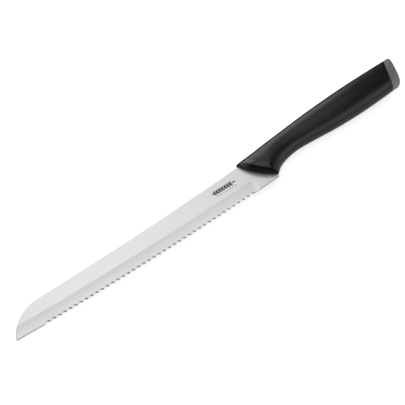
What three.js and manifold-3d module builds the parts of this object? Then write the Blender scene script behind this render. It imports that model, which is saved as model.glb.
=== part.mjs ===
// Bread knife: serrated steel blade with a partial tang, in a moulded handle with a soft grip and an end cap.
// Millimetres. The knife lies on its side: X runs from tip to butt, Y from the teeth to the spine, Z is up.
// While it is drawn, x = 0, y = 0 is the heel corner of the blade and z = 0 is the blade's middle plane.

import * as THREE from 'three';
import { mergeVertices } from 'three/addons/utils/BufferGeometryUtils.js';
import Module from 'manifold-3d';

const wasm = await Module();
wasm.setup();

// ---- driving dimensions ----

const clearance = 0.3;

const bladeLength = 212;
const bladeThickness = 1.8;
const spineHeight = 17.75;
const spineEndX = -18; // where the spine runs into the collar
const spineRise = 6280; // the spine is a parabola of this width, level at the top of the tip's curve
const tipRadius = 32;
const tipLeadX = -184; // where the spine turns down into the tip
const tipLift = 1.3; // height of the tip above the heel corner
const bellyDepth = 2;
const bellyX = -106;

const toothCount = 42;
const firstToothX = -190.5;
const lastToothX = -21.3;
const scallopDepth = 0.8;

const grindWidth = 8.6;
const grindEndX = -16;
const edgeThickness = 0.35;

const tangThickness = 1.5;
const tangHeight = 7;
const tangY = 18;
const tangEndX = 86;
const tangHoleRadius = 2.5;
const tangHolesX = [24, 62];
const shoulderLow = 4.2;
const shoulderHigh = 21;
const shoulderDepth = 2.2; // how far the full height of the blade runs into the collar

const frontArc = { x: 18.3, y: 35.9, radius: 38.6 }; // where the blade leaves the handle, seen from the side
const frontCrown = 0.034; // the front falls back to both sides by this times z squared
const frontBevel = 0.6;
const collarDepth = 5.4;
const collarHeel = { depth: 0.9, low: 1.8, high: 4.4 }; // it narrows to this depth between these heights

const buttY = 20; // mid-height of the butt
const capStart = { x: 111.7, slant: 0.39 }; // where the cap meets the grip, at that height, and its lean
const capEnd = { x: 118.2, slant: 0.3 };
const capCrown = -0.021; // both faces of the cap lean forward at the sides by this times z squared
const capRound = 2.1;
const spigotStart = { x: 100, slant: 0.39 };
const spigotInset = 4.6;

const gripWall = 2;

// Side profile and half width of the handle: [x, height] pairs, joined by smooth curves
const spineSide = [[-20, 23.6], [10, 26.45], [45, 29.55], [80, 31.35], [118, 32]];
const edgeSide = [[-2, -1.6], [2, 2.5], [8, 6.6], [16, 9.2], [26, 10.5], [40, 10.1], [56, 9.05], [72, 8.75],
  [90, 9.15], [118, 10.9]];
const halfWidths = [[-20, 7.6], [0, 7.9], [22, 7.6], [45, 8.6], [75, 9.5], [100, 9.1], [120, 8.4]];
const sectionPower = 2.2; // 2 is an ellipse, more is squarer

const ringPoints = 36;
const gripRings = 16;
const scallopSteps = 4;
const arcSteps = 12;

// ---- curves ----

// Smooth curve through [x, value] stations, held level before the first and after the last
function along(stations, x) {
  const last = stations.length - 1;
  if (x <= stations[0][0]) return stations[0][1];
  if (x >= stations[last][0]) return stations[last][1];
  const i = stations.findIndex(([stationX]) => stationX > x) - 1;
  const [x0, y0] = stations[i];
  const [x1, y1] = stations[i + 1];
  const span = x1 - x0;
  const t = (x - x0) / span;
  const bend0 = slopeAt(stations, i) * span;
  const bend1 = slopeAt(stations, i + 1) * span;
  const rise = y1 - y0;
  return y0 + t * (bend0 + t * (3 * rise - 2 * bend0 - bend1 + t * (bend0 + bend1 - 2 * rise)));
}

function slopeAt(stations, i) {
  const [x0, y0] = stations[Math.max(i - 1, 0)];
  const [x1, y1] = stations[Math.min(i + 1, stations.length - 1)];
  return (y1 - y0) / (x1 - x0);
}

function edgeY(x) {
  return -bellyDepth + bellyDepth * ((x - bellyX) / bellyX) ** 2;
}

function spineY(x) {
  return spineHeight + (x - tipLeadX) ** 2 / spineRise;
}

function arcX(y) {
  return frontArc.x - Math.sqrt(frontArc.radius ** 2 - (y - frontArc.y) ** 2);
}

// ---- solids ----

function solidOf(geometry) {
  geometry.deleteAttribute('normal');
  geometry.deleteAttribute('uv');
  const merged = mergeVertices(geometry);
  const vertProperties = merged.attributes.position.array;
  const triVerts = new Uint32Array(merged.index.array);
  return new wasm.Manifold(new wasm.Mesh({ numProp: 3, vertProperties, triVerts }));
}

function geometryOf(solid) {
  const { vertProperties, triVerts } = solid.getMesh();
  const geometry = new THREE.BufferGeometry();
  geometry.setAttribute('position', new THREE.BufferAttribute(vertProperties, 3));
  geometry.setIndex(new THREE.BufferAttribute(triVerts, 1));
  geometry.computeVertexNormals();
  return geometry;
}

function plate(shape, thickness) {
  const options = { depth: thickness, bevelEnabled: false, curveSegments: arcSteps };
  return new THREE.ExtrudeGeometry(shape, options).translate(0, 0, -thickness / 2);
}

// Outline of the blade from the heel along the teeth to the tip, back along the spine and down the collar
function bladeShape() {
  const pitch = (lastToothX - firstToothX) / (toothCount - 1);
  const shape = new THREE.Shape();
  shape.moveTo(0, 0);
  shape.lineTo(lastToothX, edgeY(lastToothX));
  for (let tooth = 1; tooth < toothCount; tooth++) {
    const startX = lastToothX - (tooth - 1) * pitch;
    for (let step = 1; step <= scallopSteps; step++) {
      const t = step / scallopSteps;
      const x = startX - t * pitch;
      shape.lineTo(x, edgeY(x) + scallopDepth * 4 * t * (1 - t));
    }
  }
  shape.lineTo(-bladeLength, tipLift);
  const tipTurn = Math.PI - Math.asin((tipLift - spineHeight + tipRadius) / tipRadius);
  shape.absarc(tipLeadX, spineHeight - tipRadius, tipRadius, tipTurn, Math.PI / 2, true);
  const topY = spineY(spineEndX);
  const backX = arcX(topY) - clearance;
  for (let step = 1; step <= arcSteps; step++) {
    const x = tipLeadX + (backX - tipLeadX) * step / arcSteps;
    shape.lineTo(x, spineY(x));
  }
  for (let step = 1; step < arcSteps; step++) {
    const y = topY * (1 - step / arcSteps);
    shape.lineTo(Math.min(arcX(y) - clearance, 0), y);
  }
  return shape;
}

function shoulderShape(gap) {
  const low = shoulderLow - gap;
  const high = shoulderHigh + gap;
  const front = [];
  const back = [];
  for (let step = 0; step <= arcSteps; step++) {
    const y = low + (high - low) * step / arcSteps;
    front.unshift(new THREE.Vector2(arcX(y) - shoulderDepth, y));
    back.push(new THREE.Vector2(arcX(y) + shoulderDepth + gap, y));
  }
  return new THREE.Shape([...front, ...back]);
}

function tangShape(gap) {
  const halfHeight = tangHeight / 2 + gap;
  const endX = tangEndX + gap - halfHeight;
  const shape = new THREE.Shape();
  shape.moveTo(arcX(tangY), tangY - halfHeight);
  shape.lineTo(endX, tangY - halfHeight);
  shape.absarc(endX, tangY, halfHeight, -Math.PI / 2, Math.PI / 2, false);
  shape.lineTo(arcX(tangY), tangY + halfHeight);
  for (const x of tangHolesX) {
    const hole = new THREE.Path();
    hole.absarc(x, tangY, tangHoleRadius - gap, 0, 2 * Math.PI, true);
    shape.holes.push(hole);
  }
  return shape;
}

// Everything of the blade that lies inside the handle, grown by a gap on all sides
function tangSolid(gap) {
  const thickness = tangThickness + 2 * gap;
  const shoulder = solidOf(plate(shoulderShape(gap), thickness));
  return shoulder.add(solidOf(plate(tangShape(gap), thickness)));
}

// Wedge that the grinding wheel takes off the upper side, following the belly of the edge
function grindSolid() {
  const top = bladeThickness / 2;
  const slope = (bladeThickness - edgeThickness) / grindWidth;
  const reach = 3;
  const startX = -bladeLength - reach;
  const section = new THREE.Shape();
  section.moveTo(grindWidth + reach, top + slope * reach);
  section.lineTo(-reach, top - slope * (grindWidth + reach));
  section.lineTo(-reach, top + reach);
  const options = { depth: grindEndX - startX, steps: 3 * arcSteps, bevelEnabled: false };
  const wedge = new THREE.ExtrudeGeometry(section, options);
  const turn = new THREE.Matrix4().set(0, 0, 1, startX, 1, 0, 0, 0, 0, 1, 0, 0, 0, 0, 0, 1);
  wedge.applyMatrix4(turn);
  const position = wedge.attributes.position;
  for (let i = 0; i < position.count; i++) {
    position.setY(i, position.getY(i) + edgeY(position.getX(i)));
  }
  return solidOf(wedge);
}

// ---- handle surfaces ----

const frontSurface = (offset) => (y, z) => Math.min(arcX(y), clearance) + frontCrown * z ** 2 + offset;
const buttSurface = (face, offset = 0) => (y, z) => (
  face.x + face.slant * (y - buttY) + capCrown * z ** 2 + offset
);

// Where the collar ends and the grip begins
function gripFront(offset) {
  return (y, z) => {
    const t = THREE.MathUtils.smoothstep(y, collarHeel.low, collarHeel.high);
    return frontSurface(offset)(y, z) + THREE.MathUtils.lerp(collarHeel.depth, collarDepth, t);
  };
}

function between(front, back, t) {
  return (y, z) => (1 - t) * front(y, z) + t * back(y, z);
}

// One closed ring of points where the handle's skin, drawn in by an inset, meets a surface across it.
// A scale under 1 gives a ring inside that one, on the same surface.
function ring(surface, inset = 0, scale = 1) {
  const points = [];
  for (let i = 0; i < ringPoints; i++) {
    const angle = 2 * Math.PI * i / ringPoints;
    const across = Math.sign(Math.cos(angle)) * Math.abs(Math.cos(angle)) ** (2 / sectionPower);
    const up = Math.sign(Math.sin(angle)) * Math.abs(Math.sin(angle)) ** (2 / sectionPower);
    const point = new THREE.Vector3(surface(buttY, 0), 0, 0);
    const settleSteps = 120;
    const settleRate = 0.3;
    for (let step = 0; step < settleSteps; step++) {
      const high = along(spineSide, point.x);
      const low = along(edgeSide, point.x);
      point.y = (high + low) / 2 + scale * ((high - low) / 2 - inset) * across;
      point.z = scale * (along(halfWidths, point.x) - inset) * up;
      point.x += settleRate * (surface(point.y, point.z) - point.x);
    }
    points.push(point);
  }
  return points;
}

// Skin over a row of rings. It closes on itself as a tube wall, or ends in a fan at each end.
function loft(rings, isTube = false) {
  const points = rings.flat();
  const indices = [];
  const at = (row, i) => (row % rings.length) * ringPoints + (i % ringPoints);
  const spans = isTube ? rings.length : rings.length - 1;
  for (let row = 0; row < spans; row++) {
    for (let i = 0; i < ringPoints; i++) {
      indices.push(at(row, i), at(row, i + 1), at(row + 1, i));
      indices.push(at(row, i + 1), at(row + 1, i + 1), at(row + 1, i));
    }
  }
  if (!isTube) {
    points.push(middleOf(rings[0]), middleOf(rings[rings.length - 1]));
    const back = rings.length - 1;
    for (let i = 0; i < ringPoints; i++) {
      indices.push(points.length - 2, at(0, i + 1), at(0, i));
      indices.push(points.length - 1, at(back, i), at(back, i + 1));
    }
  }
  const geometry = new THREE.BufferGeometry().setFromPoints(points);
  geometry.setIndex(indices);
  geometry.computeVertexNormals();
  return geometry;
}

function middleOf(points) {
  const sum = points.reduce((total, point) => total.add(point), new THREE.Vector3());
  return sum.divideScalar(points.length);
}

// Rings that fill the end of a solid with the true curve of its surface
function endRings(surface, inset) {
  return [0.35, 0.7].map((scale) => ring(surface, inset, scale));
}

// ---- sub-parts ----

function bladeGeometry() {
  const flat = solidOf(plate(bladeShape(), bladeThickness));
  return geometryOf(flat.subtract(grindSolid()).add(tangSolid(0)));
}

function collarGeometry() {
  const front = frontSurface(0);
  const back = gripFront(0);
  const body = loft([
    ...endRings(front, frontBevel),
    ring(front, frontBevel),
    ring(frontSurface(frontBevel)),
    ring(back),
    ...endRings(back, 0).reverse(),
  ]);
  return geometryOf(solidOf(body).subtract(tangSolid(clearance)));
}

function coreGeometry() {
  const inset = gripWall + clearance;
  const front = gripFront(clearance);
  const back = buttSurface(capStart, -clearance);
  const rings = [...endRings(front, inset)];
  for (let row = 0; row <= gripRings; row++) {
    rings.push(ring(between(front, back, row / gripRings), inset));
  }
  rings.push(...endRings(back, inset).reverse());
  const body = solidOf(loft(rings)).subtract(tangSolid(clearance));
  return geometryOf(body.subtract(spigotSolid(clearance)));
}

function gripGeometry() {
  const front = gripFront(clearance);
  const back = buttSurface(capStart, -clearance);
  const outer = [];
  const inner = [];
  for (let row = 0; row <= gripRings; row++) {
    const surface = between(front, back, row / gripRings);
    outer.push(ring(surface));
    inner.push(ring(surface, gripWall));
  }
  return loft([...outer, ...inner.reverse()], true);
}

function spigotSolid(gap) {
  const front = buttSurface(spigotStart, -gap);
  const back = between(buttSurface(capStart), buttSurface(capEnd), 0.5);
  return solidOf(loft([ring(front, spigotInset - gap), ring(back, spigotInset - gap)]));
}

function capGeometry() {
  const front = buttSurface(capStart);
  const end = buttSurface(capEnd);
  const rings = [...endRings(front, 0), ring(front)];
  const roundSteps = 4;
  for (let step = 0; step <= roundSteps; step++) {
    const angle = step / roundSteps * Math.PI / 2;
    const surface = buttSurface(capEnd, -capRound * (1 - Math.sin(angle)));
    rings.push(ring(surface, capRound * (1 - Math.cos(angle))));
  }
  rings.push(...endRings(end, capRound).reverse());
  return geometryOf(solidOf(loft(rings)).add(spigotSolid(0)));
}

// ---- materials ----

const steel = new THREE.MeshStandardMaterial({ color: 0xd4d6d6, roughness: 0.32, metalness: 1 });
const glossBlack = new THREE.MeshStandardMaterial({ color: 0x0c0c0e, roughness: 0.12, metalness: 0 });
const hardBlack = new THREE.MeshStandardMaterial({ color: 0x1a1a1c, roughness: 0.4, metalness: 0 });
const softBlack = new THREE.MeshStandardMaterial({ color: 0x26272b, roughness: 0.55, metalness: 0 });
const capGrey = new THREE.MeshStandardMaterial({ color: 0x7d7b78, roughness: 0.5, metalness: 0 });

// ---- assembly ----

function piece(name, geometry, material) {
  const mesh = new THREE.Mesh(geometry, material);
  mesh.name = name;
  return mesh;
}

const knife = new THREE.Group();
knife.add(
  piece('blade', bladeGeometry(), steel),
  piece('front_collar', collarGeometry(), glossBlack),
  piece('handle_core', coreGeometry(), hardBlack),
  piece('grip_sleeve', gripGeometry(), softBlack),
  piece('end_cap', capGeometry(), capGrey),
);

// The part's origin is the middle of the footprint, on the surface that the knife lies on
const extent = new THREE.Box3().setFromObject(knife, true);
const middle = extent.getCenter(new THREE.Vector3());
knife.position.set(-middle.x, -middle.y, -extent.min.z);

const group = new THREE.Group();
group.add(knife);

export default group;
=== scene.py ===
"""Bread knife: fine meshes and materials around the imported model. Blender 4.5, metres, row frame.

The knife lies on its side: X from tip to butt, Y from the teeth to the spine, Z up.
Shapes are worked out in millimetres from the heel corner of the blade, on its middle plane, and placed
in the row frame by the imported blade's box.
"""

import math

import bmesh
import bpy
import numpy as np
from mathutils import Matrix, Vector


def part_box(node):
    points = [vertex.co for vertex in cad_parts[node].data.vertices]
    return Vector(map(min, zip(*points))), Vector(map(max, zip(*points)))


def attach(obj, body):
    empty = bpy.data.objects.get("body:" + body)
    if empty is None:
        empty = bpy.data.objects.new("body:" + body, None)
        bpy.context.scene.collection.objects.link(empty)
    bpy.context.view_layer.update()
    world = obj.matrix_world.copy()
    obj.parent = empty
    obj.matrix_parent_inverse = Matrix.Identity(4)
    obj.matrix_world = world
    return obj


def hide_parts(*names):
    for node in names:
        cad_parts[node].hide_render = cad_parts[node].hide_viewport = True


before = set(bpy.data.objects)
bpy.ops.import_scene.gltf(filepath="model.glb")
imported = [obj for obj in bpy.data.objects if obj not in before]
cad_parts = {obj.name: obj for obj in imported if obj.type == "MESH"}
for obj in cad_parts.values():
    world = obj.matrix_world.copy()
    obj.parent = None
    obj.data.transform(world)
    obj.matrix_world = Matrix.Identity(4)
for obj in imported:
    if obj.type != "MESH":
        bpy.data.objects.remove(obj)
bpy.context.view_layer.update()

MM = 0.001  # Blender's unit is the metre

# ---- driving dimensions, in millimetres ----

BLADE_LENGTH = 212.0
BLADE_THICKNESS = 1.8
SPINE_HEIGHT = 17.75  # where the spine meets the round of the tip
SPINE_RISE = 6280.0  # behind there it rises by the distance squared over this
TIP_RADIUS = 32.0
TIP_LEAD_X = -184.0
BELLY_DEPTH = 2.0  # the edge sags by this in its middle
BELLY_X = -106.0

TOOTH_COUNT = 42
FIRST_TOOTH_X = -190.5
LAST_TOOTH_X = -21.3
TOOTH_PITCH = (LAST_TOOTH_X - FIRST_TOOTH_X) / (TOOTH_COUNT - 1)
SCALLOP_DEPTH = 0.8

GRIND_WIDTH = 8.6
GRIND_DEPTH = 1.0
HOLLOWNESS = 1.5  # 1 is a flat grind, more is hollower
GRIND_END_X = -18.7
GRIND_END_LENGTH = 4.2
FACET_SLOPE = 1.0
FACET_END_LENGTH = 1.6
EDGE_THICKNESS = 0.08
SPINE_CHAMFER = 0.14
HEEL_TOP_Y = 23.0  # below this height the back of the blade is an arc like the handle's front
LEAST_HEIGHT = 0.3  # of the blade, at the corners of its tip and heel

TIP_STATIONS = 40
TIP_CROWDING = 1.7  # they crowd toward the tip
STATIONS_PER_TOOTH = 12
HEEL_STATIONS = 90
GRIND_START = 2.8  # rows from this height up follow the belly, clear of the scallops
GRIND_MARGIN = 0.12  # rows stop this far from the upper line of the grind
FACET_ROWS, BLEND_ROWS, GRIND_ROWS, FLAT_ROWS = 5, 5, 11, 8

FRONT_ARC_X, FRONT_ARC_Y, FRONT_ARC_RADIUS = 18.3, 35.9, 38.6  # the handle's front, seen from the side
FRONT_CROWN = 0.034  # it falls back to both sides by this times z squared
COLLAR_DEPTH = 5.4
COLLAR_HEEL_DEPTH, COLLAR_HEEL_LOW, COLLAR_HEEL_HIGH = 0.9, 1.8, 4.4
COLLAR_ROUND = 0.7
SLOT_DEPTH = 1.6  # how far the blade's back runs into the collar

TANG_THICKNESS = 1.5
TANG_HEIGHT = 7.0
TANG_Y = 18.0
TANG_END_X = 86.0
TANG_HOLE_RADIUS = 2.5
TANG_HOLES_X = (24.0, 62.0)
GRIP_WALL = 2.0
LIP = 0.15  # tiny bevel at the ends of the grip and the cap, which draws the parting line
PARTING_GAP = 0.12

MARK_X, MARK_Y = -45.7, 14.3
MARK_LENGTH = 19.5
MARK_THICKNESS = 0.02
STEM_WIDTH = 0.5
KERNEL_PAIRS = 7
KERNEL_LENGTH, KERNEL_WIDTH = 2.6, 1.15
KERNEL_SPREAD = math.radians(32.0)
KERNEL_RISE = 0.95
RULE_DROP, RULE_WIDTH = 3.1, 0.22
RULE_START_X, RULE_END_X = -43.7, -26.9

BUTT_Y = 20.0  # mid-height of the butt
CAP_START_X, CAP_START_SLANT = 111.7, 0.39
CAP_END_X, CAP_END_SLANT = 118.2, 0.30
CAP_CROWN = -0.021
CAP_ROUND = 2.1
SPIGOT_START_X = 100.0
SPIGOT_INSET = 4.6

# Side profile and half width of the handle: (x, height) pairs, joined by smooth curves
SPINE_SIDE = [(-20, 23.6), (10, 26.45), (45, 29.55), (80, 31.35), (118, 32)]
EDGE_SIDE = [(-2, -1.6), (2, 2.5), (8, 6.6), (16, 9.2), (26, 10.5), (40, 10.1), (56, 9.05), (72, 8.75),
             (90, 9.15), (118, 10.9)]
HALF_WIDTHS = [(-20, 7.6), (0, 7.9), (22, 7.6), (45, 8.6), (75, 9.5), (100, 9.1), (120, 8.4)]
SECTION_POWER = 2.2  # 2 is an ellipse, more is squarer

RING_POINTS = 144
RING_SETTLE_STEPS, RING_SETTLE_RATE = 150, 0.3
FACET_SETTLE_STEPS = 8
COLLAR_ROUND_RINGS, COLLAR_SIDE_RINGS = 7, 6
GRIP_OUTER_RINGS, GRIP_INNER_RINGS = 90, 30
CAP_SIDE_RINGS, CAP_ROUND_RINGS = 8, 12
END_SCALES = np.linspace(0.1, 0.9, 9)  # sizes of the rings that fill a solid's end
KERNEL_POINTS = 20
TANG_ROUND_POINTS, TANG_HOLE_POINTS = 17, 32
SHARP_DEGREES = 35
BLADE_SHARP_DEGREES = 7


# ---- the frame: where the drawing's origin lies ----

def drawing_origin():
    low, high = (Vector(corner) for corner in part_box("blade"))
    return Vector((low.x + BLADE_LENGTH * MM, low.y + BELLY_DEPTH * MM, (low.z + high.z) / 2))


ORIGIN = drawing_origin()


def placed(x, y, z):
    return ORIGIN + Vector((x, y, z)) * MM


# ---- curves ----

def full_turn(count):
    return np.linspace(0.0, 2 * np.pi, count, endpoint=False)


def along(stations, x):
    """Smooth curve through (x, value) stations, level outside them. x may be an array."""
    xs = np.array([s[0] for s in stations], float)
    ys = np.array([s[1] for s in stations], float)
    before = np.concatenate(([0], np.arange(len(xs) - 1)))
    after = np.concatenate((np.arange(1, len(xs)), [len(xs) - 1]))
    slopes = (ys[after] - ys[before]) / (xs[after] - xs[before])
    x = np.clip(x, xs[0], xs[-1])
    i = np.clip(np.searchsorted(xs, x, side="right") - 1, 0, len(xs) - 2)
    span = xs[i + 1] - xs[i]
    t = (x - xs[i]) / span
    bend0 = slopes[i] * span
    bend1 = slopes[i + 1] * span
    rise = ys[i + 1] - ys[i]
    return ys[i] + t * (bend0 + t * (3 * rise - 2 * bend0 - bend1 + t * (bend0 + bend1 - 2 * rise)))


def edge_y(x):
    """The line through the tooth tips, a shallow belly."""
    return -BELLY_DEPTH + BELLY_DEPTH * ((x - BELLY_X) / BELLY_X) ** 2


def scallop(x):
    """Height of the scalloped edge above the line through the tooth tips."""
    t = ((x - FIRST_TOOTH_X) / TOOTH_PITCH) % 1.0
    inside = (x > FIRST_TOOTH_X) & (x < LAST_TOOTH_X)
    return np.where(inside, SCALLOP_DEPTH * 4 * t * (1 - t), 0.0)


def spine_y(x):
    """Top of the blade: the round of the tip, then a slow rise toward the handle."""
    tip_x = np.minimum(x - TIP_LEAD_X, 0.0)
    tip = SPINE_HEIGHT - TIP_RADIUS + np.sqrt(np.maximum(TIP_RADIUS ** 2 - tip_x ** 2, 0.0))
    body = SPINE_HEIGHT + (x - TIP_LEAD_X) ** 2 / SPINE_RISE
    return np.where(x < TIP_LEAD_X, tip, body)


def arc_x(y):
    """The handle's front arc, seen from the side."""
    return FRONT_ARC_X - np.sqrt(FRONT_ARC_RADIUS ** 2 - (y - FRONT_ARC_Y) ** 2)


# ---- mesh helpers ----

def new_object(name, vertices, faces, sharp_degrees=None):
    mesh = bpy.data.meshes.new(name)
    mesh.from_pydata([tuple(placed(*v)) for v in vertices], [], faces)
    mesh.validate()
    mesh.polygons.foreach_set("use_smooth", [True] * len(mesh.polygons))
    if sharp_degrees:
        mesh.set_sharp_from_angle(angle=math.radians(sharp_degrees))
    mesh.update()
    piece = bpy.data.objects.new(name, mesh)
    bpy.context.scene.collection.objects.link(piece)
    return piece


def flat_solid(name, loops, low_z, high_z):
    """Closed plate between two heights. The first loop is its outline and the others are holes in it."""
    curve = bpy.data.curves.new(name, "CURVE")
    curve.dimensions = "2D"
    curve.fill_mode = "BOTH"
    curve.extrude = (high_z - low_z) / 2 * MM
    for loop in loops:
        spline = curve.splines.new("POLY")
        spline.points.add(len(loop) - 1)
        spline.use_cyclic_u = True
        for point, (x, y) in zip(spline.points, loop):
            point.co = (x * MM, y * MM, 0, 1)
    drawn = bpy.data.objects.new(name, curve)
    bpy.context.scene.collection.objects.link(drawn)
    bpy.context.view_layer.update()
    mesh = bpy.data.meshes.new_from_object(drawn.evaluated_get(bpy.context.evaluated_depsgraph_get()))
    bpy.data.objects.remove(drawn)
    mesh.transform(Matrix.Translation(placed(0, 0, (low_z + high_z) / 2)))
    shape = bmesh.new()
    shape.from_mesh(mesh)
    bmesh.ops.remove_doubles(shape, verts=shape.verts, dist=0.001 * MM)
    bmesh.ops.recalc_face_normals(shape, faces=shape.faces)
    shape.to_mesh(mesh)
    shape.free()
    piece = bpy.data.objects.new(name, mesh)
    bpy.context.scene.collection.objects.link(piece)
    return piece


def merge(piece, other, operation, sharp_degrees, keep_other=False):
    """Joins another solid to a piece, or cuts it out, for good."""
    modifier = piece.modifiers.new("merge", "BOOLEAN")
    modifier.operation = operation
    modifier.solver = "EXACT"
    modifier.object = other
    bpy.context.view_layer.update()
    mesh = bpy.data.meshes.new_from_object(piece.evaluated_get(bpy.context.evaluated_depsgraph_get()))
    piece.modifiers.clear()
    mesh.name = piece.data.name
    piece.data = mesh
    mesh.polygons.foreach_set("use_smooth", [True] * len(mesh.polygons))
    mesh.set_sharp_from_angle(angle=math.radians(sharp_degrees))
    if not keep_other:
        bpy.data.objects.remove(other)


def finish_piece(piece, node, material):
    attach(piece, "root")
    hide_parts(node)
    piece.data.materials.append(material)


# ---- blade ----

def blade_columns():
    """Stations along the blade: dense round the tip, even over the teeth, and on to the collar."""
    along_tip = np.linspace(0.0, 1.0, TIP_STATIONS) ** TIP_CROWDING
    tip = -BLADE_LENGTH + (FIRST_TOOTH_X + BLADE_LENGTH) * along_tip
    steps = np.arange(1, STATIONS_PER_TOOTH * (TOOTH_COUNT - 1) + 1)
    teeth = FIRST_TOOTH_X + TOOTH_PITCH / STATIONS_PER_TOOTH * steps
    heel = np.linspace(LAST_TOOTH_X, 0.0, HEEL_STATIONS)[1:]
    return np.concatenate((tip, teeth, heel))


def hollow_depth(x, rise):
    """How far the grinding wheel has cut, at a height above the line through the tooth tips."""
    end = np.maximum(x - GRIND_END_X, 0.0) / GRIND_END_LENGTH
    inward = np.clip(1 - np.hypot(np.maximum(rise, 0.0) / GRIND_WIDTH, end), 0.0, 1.0)
    return GRIND_DEPTH * (HOLLOWNESS * inward - (HOLLOWNESS - 1) * inward ** 2)


def facet_start(x):
    """Height of the cutting edge's upper side; past the last tooth the facet runs out upward."""
    heel = np.clip((x - LAST_TOOTH_X) / FACET_END_LENGTH, 0.0, 1.0)
    return -BLADE_THICKNESS / 2 + EDGE_THICKNESS + heel * BLADE_THICKNESS


def blade_top(x, y, edge, line):
    hollow = BLADE_THICKNESS / 2 - hollow_depth(x, y - line)
    facet = facet_start(x) + FACET_SLOPE * (y - edge)
    return np.minimum(hollow, facet)


def facet_width(x):
    """Distance from the edge to the line where the facets meet the hollow."""
    width = np.ones(len(x))
    least_width = 0.05
    for _ in range(FACET_SETTLE_STEPS):
        hollow = BLADE_THICKNESS / 2 - hollow_depth(x, scallop(x) + width)
        width = np.maximum((hollow - facet_start(x)) / FACET_SLOPE, least_width)
    return width


def blade_back(x):
    """Upper limit of the blade where its back edge lies in the collar's slot."""
    into_slot = FRONT_ARC_X - x + SLOT_DEPTH
    back = FRONT_ARC_Y - np.sqrt(FRONT_ARC_RADIUS ** 2 - np.minimum(into_slot, FRONT_ARC_RADIUS) ** 2)
    return np.where(x > arc_x(HEEL_TOP_Y), back, np.inf)


def blade_shape():
    """Stations, rows of heights over them, and the edge, tooth-tip line and spine that they lie between."""
    x = blade_columns()
    line = edge_y(x)
    edge = line + scallop(x)
    spine = np.maximum(np.minimum(spine_y(x), blade_back(x)), edge + LEAST_HEIGHT)
    crest = edge + facet_width(x)
    grind_top = line + GRIND_WIDTH
    rows = []
    for t in np.linspace(0.0, 1.0, FACET_ROWS):
        rows.append(edge + t * (crest - edge))
    for t in np.linspace(0.0, 1.0, BLEND_ROWS + 1)[1:-1]:
        rows.append(crest + t * (line + GRIND_START - crest))
    for rise in np.linspace(GRIND_START, GRIND_WIDTH - GRIND_MARGIN, GRIND_ROWS):
        rows.append(line + rise)
    rows.append(grind_top)
    for t in np.linspace(0.0, 1.0, FLAT_ROWS + 1)[1:-1]:
        rows.append(grind_top + GRIND_MARGIN + t * (spine - SPINE_CHAMFER - grind_top - GRIND_MARGIN))
    rows.append(spine - SPINE_CHAMFER)
    rows.append(spine)
    least_step = 1e-4
    highest = spine - least_step * np.arange(len(rows), 0, -1)[:, None]
    return x, np.minimum(np.array(rows), highest), edge, line, spine


def arc_points(x, y, radius, angles):
    return [(x + radius * math.cos(a), y + radius * math.sin(a)) for a in angles]


def make_tang():
    """The narrow plate inside the handle, with two round holes, as a flat curve given its thickness."""
    half_height = TANG_HEIGHT / 2
    start_x = float(arc_x(TANG_Y)) + SLOT_DEPTH / 2
    half_turn = np.linspace(-np.pi / 2, np.pi / 2, TANG_ROUND_POINTS)
    end = arc_points(TANG_END_X - half_height, TANG_Y, half_height, half_turn)
    loops = [[(start_x, TANG_Y - half_height), *end, (start_x, TANG_Y + half_height)]]
    for x in TANG_HOLES_X:
        loops.append(arc_points(x, TANG_Y, TANG_HOLE_RADIUS, full_turn(TANG_HOLE_POINTS)))
    return flat_solid("tang", loops, -TANG_THICKNESS / 2, TANG_THICKNESS / 2)


def two_skins(row_count, column_count):
    """Faces of a solid whose upper skin is a grid of points and whose lower skin is a like grid after it."""
    total = row_count * column_count
    faces = []
    for j in range(row_count - 1):
        for i in range(column_count - 1):
            a = j * column_count + i
            b = a + column_count
            faces.append((a, a + 1, b + 1, b))
            faces.append((a + total, b + total, b + 1 + total, a + 1 + total))
    last = total - column_count
    for i in range(column_count - 1):
        faces.append((i, i + total, i + 1 + total, i + 1))
        faces.append((last + i, last + i + 1, last + i + 1 + total, last + i + total))
    for j in range(row_count - 1):
        a = j * column_count
        b = a + column_count
        faces.append((a, b, b + total, a + total))
        a += column_count - 1
        b += column_count - 1
        faces.append((a, a + total, b + total, b))
    return faces


def make_blade(material):
    x, grid, edge, line, spine = blade_shape()
    chamfer = np.clip(SPINE_CHAMFER - (spine - grid), 0.0, SPINE_CHAMFER)
    upper = blade_top(x, grid, edge, line) - chamfer
    lower = -BLADE_THICKNESS / 2 + chamfer
    columns = np.broadcast_to(x, grid.shape)
    vertices = []
    for heights in (upper, lower):
        vertices += list(zip(columns.flat, grid.flat, heights.flat))
    piece = new_object("knife_blade", vertices, two_skins(*grid.shape))
    merge(piece, make_tang(), "UNION", BLADE_SHARP_DEGREES)
    finish_piece(piece, "blade", material)
    return piece


# ---- handle ----

def front_surface(offset):
    return lambda y, z: np.minimum(arc_x(y), 0.0) + FRONT_CROWN * z ** 2 + offset


def grip_front(offset=0.0):
    """Where the collar ends and the grip begins: even over most of the height, and close at the heel."""
    def surface(y, z):
        t = np.clip((y - COLLAR_HEEL_LOW) / (COLLAR_HEEL_HIGH - COLLAR_HEEL_LOW), 0.0, 1.0)
        t = t * t * (3 - 2 * t)
        depth = COLLAR_HEEL_DEPTH + t * (COLLAR_DEPTH - COLLAR_HEEL_DEPTH)
        return front_surface(offset)(y, z) + depth
    return surface


def cap_start(offset=0.0):
    return lambda y, z: CAP_START_X + (y - BUTT_Y) * CAP_START_SLANT + CAP_CROWN * z ** 2 + offset


def cap_end(offset=0.0):
    return lambda y, z: CAP_END_X + (y - BUTT_Y) * CAP_END_SLANT + CAP_CROWN * z ** 2 + offset


def spigot_start(y, z):
    return SPIGOT_START_X + (y - BUTT_Y) * CAP_START_SLANT + CAP_CROWN * z ** 2


def between(front, back, t):
    return lambda y, z: (1 - t) * front(y, z) + t * back(y, z)


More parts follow.
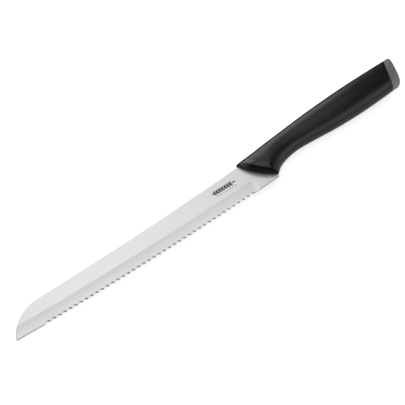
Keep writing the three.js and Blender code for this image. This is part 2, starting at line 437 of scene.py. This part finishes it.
def ring(surface, inset=0.0, scale=1.0):
    """Ring where the handle's skin, drawn in by an inset, meets a surface across it."""
    angle = full_turn(RING_POINTS)
    power = 2 / SECTION_POWER
    across = np.sign(np.cos(angle)) * np.abs(np.cos(angle)) ** power
    up = np.sign(np.sin(angle)) * np.abs(np.sin(angle)) ** power
    x = np.full(RING_POINTS, float(surface(BUTT_Y, 0.0)))
    for _ in range(RING_SETTLE_STEPS):
        high = along(SPINE_SIDE, x)
        low = along(EDGE_SIDE, x)
        y = (high + low) / 2 + scale * ((high - low) / 2 - inset) * across
        z = scale * (along(HALF_WIDTHS, x) - inset) * up
        x = x + RING_SETTLE_RATE * (surface(y, z) - x)
    return np.stack((x, y, z), axis=1)


def lofted(name, rings, is_tube=False):
    """Closed skin over a row of rings: a tube wall that closes on itself, or a fan at each end."""
    vertices = np.concatenate(rings)
    count = RING_POINTS
    total = len(rings) * count
    faces = []
    for row in range(len(rings) if is_tube else len(rings) - 1):
        for i in range(count):
            a = row * count + i
            b = row * count + (i + 1) % count
            faces.append((a, b, (b + count) % total, (a + count) % total))
    if not is_tube:
        vertices = np.concatenate((vertices, [rings[0].mean(axis=0), rings[-1].mean(axis=0)]))
        for i in range(count):
            after = (i + 1) % count
            faces.append((total, after, i))
            faces.append((total + 1, total - count + i, total - count + after))
    return new_object(name, vertices.tolist(), faces, SHARP_DEGREES)


def filling(surface, inset):
    """Rings that fill the end of a solid with the true curve of its surface."""
    return [ring(surface, inset, scale) for scale in END_SCALES]


def make_collar(material, blade):
    front = front_surface(0.0)
    back = grip_front(-PARTING_GAP)
    rings = filling(front, COLLAR_ROUND)
    for angle in np.linspace(0.0, np.pi / 2, COLLAR_ROUND_RINGS):
        surface = front_surface(COLLAR_ROUND * (1 - math.cos(angle)))
        rings.append(ring(surface, COLLAR_ROUND * (1 - math.sin(angle))))
    for t in np.linspace(0.2, 1.0, COLLAR_SIDE_RINGS):
        rings.append(ring(between(front_surface(COLLAR_ROUND), back, t)))
    rings += filling(back, 0.0)[::-1]
    piece = lofted("handle_front_collar", rings)
    merge(piece, blade, "DIFFERENCE", SHARP_DEGREES, keep_other=True)
    finish_piece(piece, "front_collar", material)


def make_grip(material):
    front = grip_front()
    back = cap_start(-PARTING_GAP)
    outer = [ring(front, LIP)]
    for t in np.linspace(0.002, 0.998, GRIP_OUTER_RINGS):
        outer.append(ring(between(front, back, t)))
    outer.append(ring(back, LIP))
    inner = [ring(between(front, back, t), GRIP_WALL) for t in np.linspace(1.0, 0.0, GRIP_INNER_RINGS)]
    piece = lofted("soft_grip", outer + inner, is_tube=True)
    finish_piece(piece, "grip_sleeve", material)


def make_spigot():
    """Plug on the inner side of the cap, which sits in the core's hole."""
    inside = between(cap_start(), cap_end(), 0.5)
    rings = filling(spigot_start, SPIGOT_INSET)
    rings.append(ring(spigot_start, SPIGOT_INSET))
    rings.append(ring(inside, SPIGOT_INSET))
    rings += filling(inside, SPIGOT_INSET)[::-1]
    return lofted("spigot", rings)


def make_cap(material):
    rings = filling(cap_start(), LIP)
    rings.append(ring(cap_start(), LIP))
    rings.append(ring(cap_start(LIP)))
    for t in np.linspace(0.1, 1.0, CAP_SIDE_RINGS):
        rings.append(ring(between(cap_start(), cap_end(-CAP_ROUND), t)))
    for angle in np.linspace(0.0, np.pi / 2, CAP_ROUND_RINGS)[1:]:
        surface = cap_end(-CAP_ROUND * (1 - math.sin(angle)))
        rings.append(ring(surface, CAP_ROUND * (1 - math.cos(angle))))
    rings += filling(cap_end(), CAP_ROUND)[::-1]
    piece = lofted("butt_cap", rings)
    merge(piece, make_spigot(), "UNION", SHARP_DEGREES)
    finish_piece(piece, "end_cap", material)


# ---- printed mark ----

def kernel(x, y, turn):
    """Pointed oval, like one grain of an ear of wheat."""
    points = []
    for angle in full_turn(KERNEL_POINTS):
        lengthwise = KERNEL_LENGTH / 2 * math.cos(angle)
        crosswise = KERNEL_WIDTH / 2 * math.copysign(abs(math.sin(angle)) ** 1.4, math.sin(angle))
        points.append((x + lengthwise * math.cos(turn) - crosswise * math.sin(turn),
                       y + lengthwise * math.sin(turn) + crosswise * math.cos(turn)))
    return points


def bar(start_x, end_x, y, width):
    low, high = y - width / 2, y + width / 2
    return [(start_x, low), (end_x, low), (end_x, high), (start_x, high)]


def make_mark(material):
    """A plain ear of wheat over a thin rule, printed on the flat of the blade."""
    end_x = MARK_X + MARK_LENGTH
    outlines = [bar(MARK_X, end_x - KERNEL_LENGTH, MARK_Y, STEM_WIDTH),
                bar(RULE_START_X, RULE_END_X, MARK_Y - RULE_DROP, RULE_WIDTH),
                kernel(end_x - KERNEL_LENGTH / 2, MARK_Y, 0.0)]
    for x in np.linspace(MARK_X + KERNEL_LENGTH, end_x - 1.5 * KERNEL_LENGTH, KERNEL_PAIRS):
        outlines.append(kernel(x, MARK_Y + KERNEL_RISE, KERNEL_SPREAD))
        outlines.append(kernel(x, MARK_Y - KERNEL_RISE, -KERNEL_SPREAD))
    low = (BLADE_THICKNESS - MARK_THICKNESS) / 2
    vertices, faces = [], []
    for outline in outlines:
        start = len(vertices)
        count = len(outline)
        for z in (low, low + MARK_THICKNESS):
            vertices += [(x, y, z) for x, y in outline]
        faces.append(tuple(range(start + count - 1, start - 1, -1)))
        faces.append(tuple(range(start + count, start + 2 * count)))
        for i in range(count):
            after = (i + 1) % count
            faces.append((start + i, start + after, start + count + after, start + count + i))
    piece = new_object("wheat_mark", vertices, faces, SHARP_DEGREES)
    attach(piece, "root")
    piece.data.materials.append(material)


# ---- materials ----

def new_material(name):
    material = bpy.data.materials.new(name)
    material.use_nodes = True
    tree = material.node_tree
    return material, tree, tree.nodes["Principled BSDF"]


def object_coordinates(tree, scale):
    """Object coordinates, stretched by a scale on each axis."""
    coordinates = tree.nodes.new("ShaderNodeTexCoord")
    mapping = tree.nodes.new("ShaderNodeMapping")
    mapping.inputs["Scale"].default_value = scale
    tree.links.new(coordinates.outputs["Object"], mapping.inputs["Vector"])
    return mapping.outputs["Vector"]


def noise(tree, scale, detail=2.0, stretch=(1, 1, 1)):
    node = tree.nodes.new("ShaderNodeTexNoise")
    node.inputs["Scale"].default_value = scale
    node.inputs["Detail"].default_value = detail
    tree.links.new(object_coordinates(tree, stretch), node.inputs["Vector"])
    return node.outputs["Fac"]


def ranged(tree, value, low, high):
    node = tree.nodes.new("ShaderNodeMapRange")
    node.inputs["To Min"].default_value = low
    node.inputs["To Max"].default_value = high
    tree.links.new(value, node.inputs["Value"])
    return node.outputs["Result"]


def mixed_colour(tree, factor, first, second):
    node = tree.nodes.new("ShaderNodeMix")
    node.data_type = "RGBA"
    node.inputs["A"].default_value = (*first, 1)
    node.inputs["B"].default_value = (*second, 1)
    tree.links.new(factor, node.inputs["Factor"])
    return node.outputs["Result"]


def bump(tree, height, distance, strength):
    node = tree.nodes.new("ShaderNodeBump")
    node.inputs["Distance"].default_value = distance
    node.inputs["Strength"].default_value = strength
    tree.links.new(height, node.inputs["Height"])
    return node.outputs["Normal"]


def steel_material():
    material, tree, shader = new_material("satin_steel")
    shader.inputs["Metallic"].default_value = 1.0
    lines = noise(tree, 900.0, 3.0, (0.03, 1, 1))
    cloud = noise(tree, 22.0, 2.0)
    tree.links.new(mixed_colour(tree, cloud, (0.74, 0.736, 0.728), (0.79, 0.786, 0.778)),
                   shader.inputs["Base Color"])
    tree.links.new(ranged(tree, lines, 0.26, 0.36), shader.inputs["Roughness"])
    tree.links.new(bump(tree, lines, 0.00002, 0.25), shader.inputs["Normal"])
    return material


def gloss_material():
    material, tree, shader = new_material("gloss_black")
    smudge = noise(tree, 160.0, 3.0)
    tree.links.new(mixed_colour(tree, smudge, (0.002, 0.002, 0.002), (0.004, 0.004, 0.004)),
                   shader.inputs["Base Color"])
    tree.links.new(ranged(tree, smudge, 0.09, 0.16), shader.inputs["Roughness"])
    return material


def ink_material():
    material, tree, shader = new_material("printed_ink")
    wear = noise(tree, 1500.0, 2.0)
    tree.links.new(mixed_colour(tree, wear, (0.012, 0.012, 0.012), (0.03, 0.03, 0.03)),
                   shader.inputs["Base Color"])
    shader.inputs["Roughness"].default_value = 0.5
    return material


def core_material():
    material, tree, shader = new_material("moulded_core")
    cloud = noise(tree, 120.0, 2.0)
    tree.links.new(mixed_colour(tree, cloud, (0.012, 0.012, 0.013), (0.02, 0.02, 0.021)),
                   shader.inputs["Base Color"])
    shader.inputs["Roughness"].default_value = 0.45
    return material


def grip_material():
    material, tree, shader = new_material("soft_touch_black")
    shader.inputs["Specular Tint"].default_value = (0.92, 0.95, 1.0, 1)
    grain = noise(tree, 2600.0, 2.0)
    cloud = noise(tree, 60.0, 3.0)
    tree.links.new(mixed_colour(tree, cloud, (0.0040, 0.0041, 0.0046), (0.0060, 0.0062, 0.0070)),
                   shader.inputs["Base Color"])
    tree.links.new(ranged(tree, grain, 0.29, 0.37), shader.inputs["Roughness"])
    tree.links.new(bump(tree, grain, 0.00004, 0.35), shader.inputs["Normal"])
    return material


def cap_material():
    material, tree, shader = new_material("satin_grey")
    grain = noise(tree, 2200.0, 2.0)
    cloud = noise(tree, 90.0, 2.0)
    tree.links.new(mixed_colour(tree, cloud, (0.165, 0.16, 0.15), (0.20, 0.195, 0.185)),
                   shader.inputs["Base Color"])
    tree.links.new(ranged(tree, grain, 0.42, 0.52), shader.inputs["Roughness"])
    tree.links.new(bump(tree, grain, 0.00004, 0.3), shader.inputs["Normal"])
    return material


# ---- stage, lights and camera ----

VIEW_AZIMUTH = math.radians(-36.95)
VIEW_ELEVATION = math.radians(56.0)
VIEW_POINT = (-53.74, 13.90, 0.0)
VIEW_DISTANCE = 1.4404
VIEW_LENS = 192.476

FLOOR_REACH = 3.0
FLOOR_GLOW = 0.7
GLOW_DIRECTION = (0.8, -0.5, -0.33)
GLOW_SPREAD = (0.2, 0.8)
GLOW_STRENGTH = (0.05, 0.5)
DOWN, FORWARD, BACKWARD, TO_BUTT = (0, 0, -1), (0, -1, 0), (0, 1, 0), (1, 0, 0)
SOFTBOXES = [
    ("key", (90, 315, 600), DOWN, (480, 270), 1.08),
    ("key_back", (-95, 450, 510), FORWARD, (710, 180), 0.7),
    ("spine_side", (-95, 450, 210), FORWARD, (710, 420), 2.0),
    ("middle", (-160, 120, 600), DOWN, (580, 120), 0.88),
    ("middle_heel", (210, 80, 600), DOWN, (160, 200), 0.93),
    ("over", (-120, -110, 600), DOWN, (660, 180), 1.5),
    ("camera_side", (-95, -310, 600), DOWN, (710, 220), 0.5),
    ("edge_side_low", (385, -420, 75), BACKWARD, (1030, 150), 0.85),
    ("edge_side_high", (385, -420, 280), BACKWARD, (1030, 260), 0.5),
    ("edge_side_far", (-380, -420, 180), BACKWARD, (500, 360), 0.2),
    ("tip_side", (-650, 100, 220), TO_BUTT, (500, 300), 2.0),
]


def view_direction(azimuth, elevation):
    return Vector((math.sin(azimuth) * math.cos(elevation), -math.cos(azimuth) * math.cos(elevation),
                   math.sin(elevation)))


def make_camera():
    camera = bpy.data.objects.new("camera", bpy.data.cameras.new("camera"))
    bpy.context.scene.collection.objects.link(camera)
    camera.data.lens = VIEW_LENS
    camera.data.clip_end = 20.0
    direction = view_direction(VIEW_AZIMUTH, VIEW_ELEVATION)
    camera.location = placed(*VIEW_POINT) + direction * VIEW_DISTANCE
    camera.rotation_euler = direction.to_track_quat("Z", "Y").to_euler()
    bpy.context.scene.camera = camera


def make_floor():
    """Pale sweep that doesn't show in gloss, as under a knife hung clear of its background."""
    mesh = bpy.data.meshes.new("floor")
    corners = [(-FLOOR_REACH, -FLOOR_REACH, 0), (FLOOR_REACH, -FLOOR_REACH, 0),
               (FLOOR_REACH, FLOOR_REACH, 0), (-FLOOR_REACH, FLOOR_REACH, 0)]
    mesh.from_pydata(corners, [], [(0, 1, 2, 3)])
    floor = bpy.data.objects.new("floor", mesh)
    bpy.context.scene.collection.objects.link(floor)
    material, _, shader = new_material("pale_floor")
    shader.inputs["Base Color"].default_value = (0.9, 0.9, 0.9, 1)
    shader.inputs["Roughness"].default_value = 0.9
    shader.inputs["Specular IOR Level"].default_value = 0.0
    shader.inputs["Emission Color"].default_value = (1, 1, 1, 1)
    shader.inputs["Emission Strength"].default_value = FLOOR_GLOW
    mesh.materials.append(material)
    floor.visible_glossy = False


def softbox(name, centre, facing, size, radiance):
    """Soft light whose face has a given radiance. Its width is level."""
    light = bpy.data.lights.new(name, "AREA")
    light.shape = "RECTANGLE"
    light.size, light.size_y = size[0] * MM, size[1] * MM
    light.energy = radiance * light.size * light.size_y * math.pi
    lamp = bpy.data.objects.new(name, light)
    back = -Vector(facing)
    side = Vector((1, 0, 0)) if back.z else Vector((-back.y, back.x, 0))
    lamp.matrix_world = Matrix((side, back.cross(side), back)).transposed().to_4x4()
    lamp.location = placed(*centre)
    lamp.visible_camera = False
    bpy.context.scene.collection.objects.link(lamp)


def room_glow(tree):
    """Dim room, brighter low down on the side where the knife's edge points."""
    coordinates = tree.nodes.new("ShaderNodeTexCoord")
    toward = tree.nodes.new("ShaderNodeVectorMath")
    toward.operation = "DOT_PRODUCT"
    toward.inputs[1].default_value = GLOW_DIRECTION
    tree.links.new(coordinates.outputs["Generated"], toward.inputs[0])
    node = tree.nodes.new("ShaderNodeMapRange")
    node.interpolation_type = "SMOOTHSTEP"
    node.inputs["From Min"].default_value, node.inputs["From Max"].default_value = GLOW_SPREAD
    node.inputs["To Min"].default_value, node.inputs["To Max"].default_value = GLOW_STRENGTH
    tree.links.new(toward.outputs["Value"], node.inputs["Value"])
    return node.outputs["Result"]


def make_lights():
    world = bpy.data.worlds.new("studio")
    bpy.context.scene.world = world
    world.use_nodes = True
    tree = world.node_tree
    background = tree.nodes["Background"]
    background.inputs["Color"].default_value = (1, 1, 1, 1)
    tree.links.new(room_glow(tree), background.inputs["Strength"])
    for name, centre, facing, size, radiance in SOFTBOXES:
        softbox(name, centre, facing, size, radiance)
    bpy.context.scene.view_settings.view_transform = "Standard"


# ---- scene ----

make_camera()
make_floor()
make_lights()
blade = make_blade(steel_material())
make_mark(ink_material())
make_collar(gloss_material(), blade)
make_grip(grip_material())
make_cap(cap_material())
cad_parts["handle_core"].data.materials[0] = core_material()
